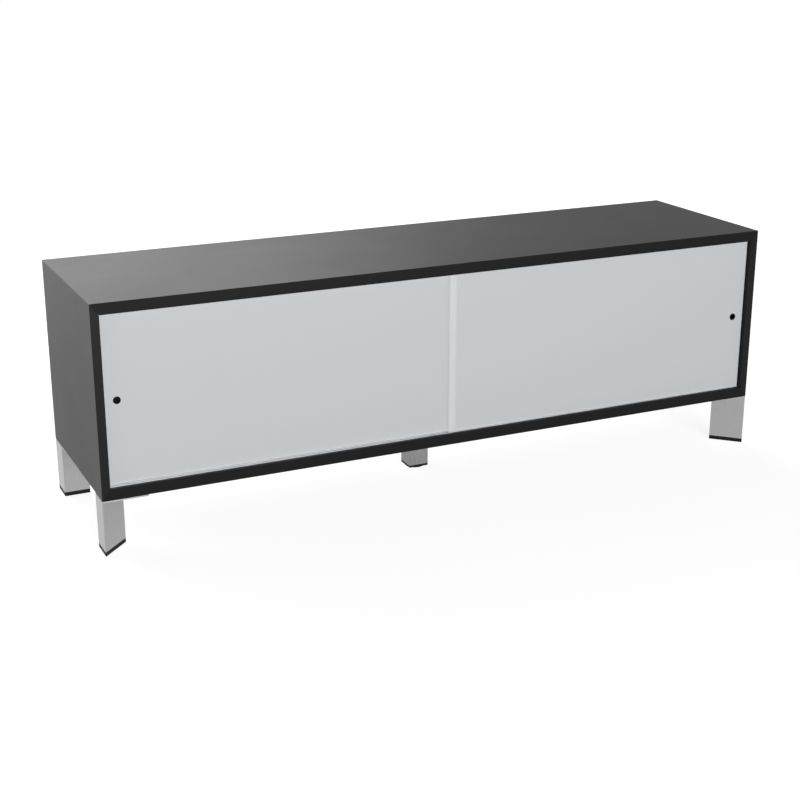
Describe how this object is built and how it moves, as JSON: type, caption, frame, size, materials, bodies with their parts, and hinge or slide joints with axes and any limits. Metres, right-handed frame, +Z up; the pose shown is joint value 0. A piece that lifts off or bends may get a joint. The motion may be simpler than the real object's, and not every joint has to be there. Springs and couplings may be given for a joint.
{
  "type": "sliding door cabinet",
  "caption": "Long low cabinet with a mitred black carcass, satin glass doors sliding in double-channel tracks, shelves inside and short triangular aluminium legs.",
  "frame": {"origin": "on the floor, under the centre of the cabinet's footprint", "axes": "+X to the right along the length seen from the front, +Y from the front to the back, +Z up"},
  "size_m": [1.65, 0.432, 0.55],
  "materials": {
    "black_lacquer": "black satin lacquer",
    "satin_glass": "satin white-grey glass",
    "satin_aluminium": "satin anodised",
    "black_plastic": "matte black",
    "white_nylon": "matte natural nylon",
    "zinc_steel": "bright zinc plated"
  },
  "bodies": {
    "carcass": {"top_panel": "black_lacquer", "bottom_panel": "black_lacquer", "left_side_panel": "black_lacquer", "right_side_panel": "black_lacquer", "back_panel": "black_lacquer", "centre_partition": "black_lacquer", "left_shelf": "black_lacquer", "right_shelf": "black_lacquer", "left_shelf_bracket_outer_front": "zinc_steel", "left_shelf_bracket_outer_back": "zinc_steel", "left_shelf_bracket_inner_front": "zinc_steel", "left_shelf_bracket_inner_back": "zinc_steel", "right_shelf_bracket_outer_front": "zinc_steel", "right_shelf_bracket_outer_back": "zinc_steel", "right_shelf_bracket_inner_front": "zinc_steel", "right_shelf_bracket_inner_back": "zinc_steel", "lower_track": "satin_aluminium", "upper_track": "satin_aluminium", "front_left_leg": "satin_aluminium", "front_right_leg": "satin_aluminium", "back_right_leg": "satin_aluminium", "back_left_leg": "satin_aluminium", "front_left_foot_pad": "black_plastic", "front_right_foot_pad": "black_plastic", "back_right_foot_pad": "black_plastic", "back_left_foot_pad": "black_plastic", "front_left_leg_plate": "satin_aluminium", "front_right_leg_plate": "satin_aluminium", "back_right_leg_plate": "satin_aluminium", "back_left_leg_plate": "satin_aluminium", "front_left_plate_screw_1": "zinc_steel", "front_left_plate_screw_2": "zinc_steel", "front_left_plate_screw_3": "zinc_steel", "front_right_plate_screw_1": "zinc_steel", "front_right_plate_screw_2": "zinc_steel", "front_right_plate_screw_3": "zinc_steel", "back_right_plate_screw_1": "zinc_steel", "back_right_plate_screw_2": "zinc_steel", "back_right_plate_screw_3": "zinc_steel", "back_left_plate_screw_1": "zinc_steel", "back_left_plate_screw_2": "zinc_steel", "back_left_plate_screw_3": "zinc_steel", "centre_leg": "satin_aluminium", "centre_leg_plate": "satin_aluminium", "centre_plate_screw_1": "zinc_steel", "centre_plate_screw_2": "zinc_steel", "centre_plate_screw_3": "zinc_steel", "centre_plate_screw_4": "zinc_steel", "centre_leg_cap": "black_plastic"},
    "right_door": {"right_door_glass": "satin_glass", "right_finger_grommet": "black_plastic", "right_door_glide_left": "white_nylon", "right_door_glide_right": "white_nylon"},
    "left_door": {"left_door_glass": "satin_glass", "left_finger_grommet": "black_plastic", "left_door_glide_left": "white_nylon", "left_door_glide_right": "white_nylon"},
    "leveller": {"centre_leveller": "black_plastic"}
  },
  "joints": [
    {"name": "left_door_slide", "type": "slide", "parent": "carcass", "child": "left_door", "axis": [1, 0, 0], "range_m": [0, 0.794]},
    {"name": "right_door_slide", "type": "slide", "parent": "carcass", "child": "right_door", "axis": [1, 0, 0], "range_m": [-0.794, 0]},
    {"name": "leveller_travel", "type": "slide", "parent": "carcass", "child": "leveller", "axis": [0, 0, -1], "range_m": [0, 0.01]}
  ]
}
